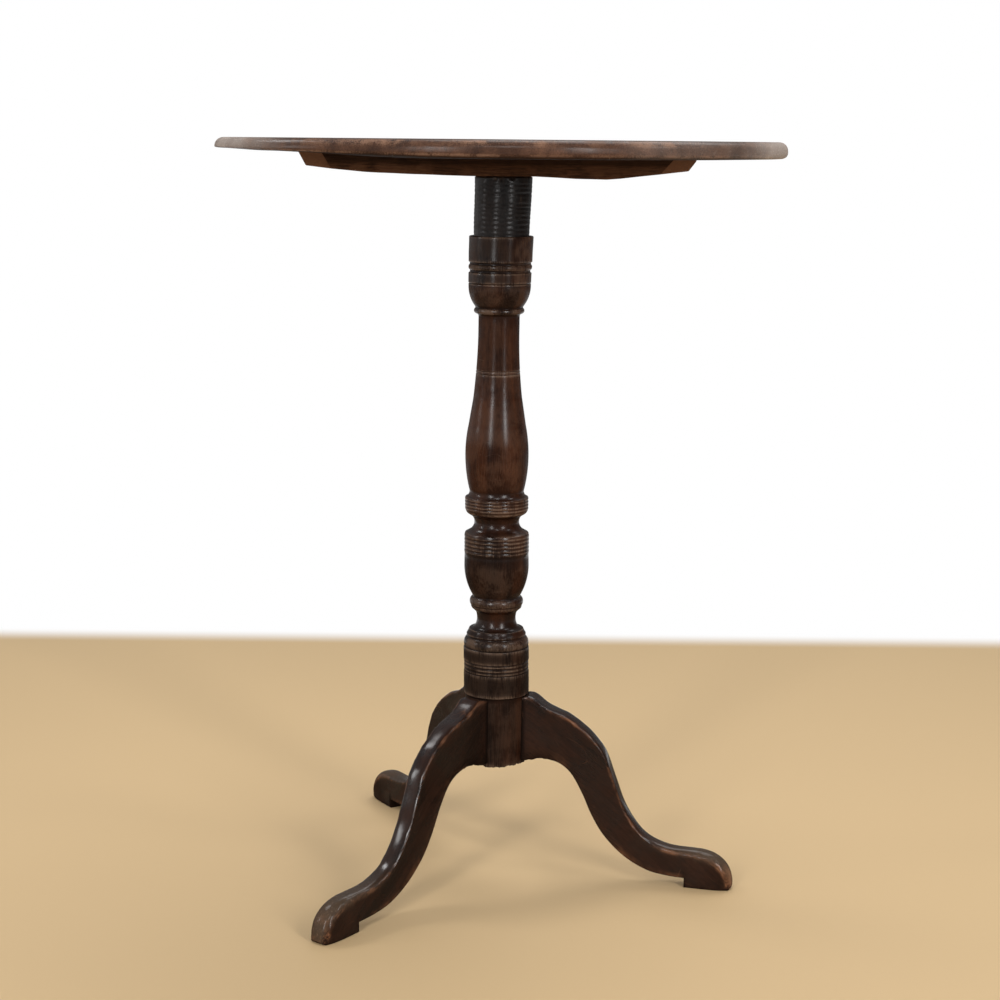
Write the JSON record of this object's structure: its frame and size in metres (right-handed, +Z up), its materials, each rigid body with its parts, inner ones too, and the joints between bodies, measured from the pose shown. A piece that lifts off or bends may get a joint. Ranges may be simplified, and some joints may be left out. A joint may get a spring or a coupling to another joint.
{
  "type": "tripod table",
  "caption": "Small round side table: a thin boarded top on a tapered bearer, a turned baluster pillar, and cabriole legs that end in low pads.",
  "frame": {"origin": "on the floor, under the middle of the round top", "axes": "+Z up along the pillar; +X towards the right of the picture along the bearer; -Y towards the viewer"},
  "size_m": [0.535, 0.535, 0.7185],
  "materials": {
    "top_wood": "waxed oak, mid to dark brown, worn lighter along the rim's upper edge",
    "bearer_wood": "dry dull dark brown oak",
    "neck_wood": "almost black, rough-turned, with a soft shine",
    "pillar_wood": "polished dark red-brown",
    "leg_wood": "polished dark brown, worn red-brown along the arrises",
    "wedge_wood": "plain split oak, unpolished",
    "screw_iron": "dull dark iron"
  },
  "bodies": {
    "root": {"top_board_left": "top_wood", "top_board_middle": "top_wood", "top_board_right": "top_wood", "bearer": "bearer_wood", "bearer_screw_1": "screw_iron", "bearer_screw_2": "screw_iron", "bearer_screw_3": "screw_iron", "bearer_screw_4": "screw_iron", "bearer_screw_5": "screw_iron", "bearer_screw_6": "screw_iron", "neck": "neck_wood", "neck_wedge": "wedge_wood", "pillar": "pillar_wood", "leg_right": "leg_wood", "leg_back_left": "leg_wood", "leg_front_left": "leg_wood"}
  },
  "joints": []
}
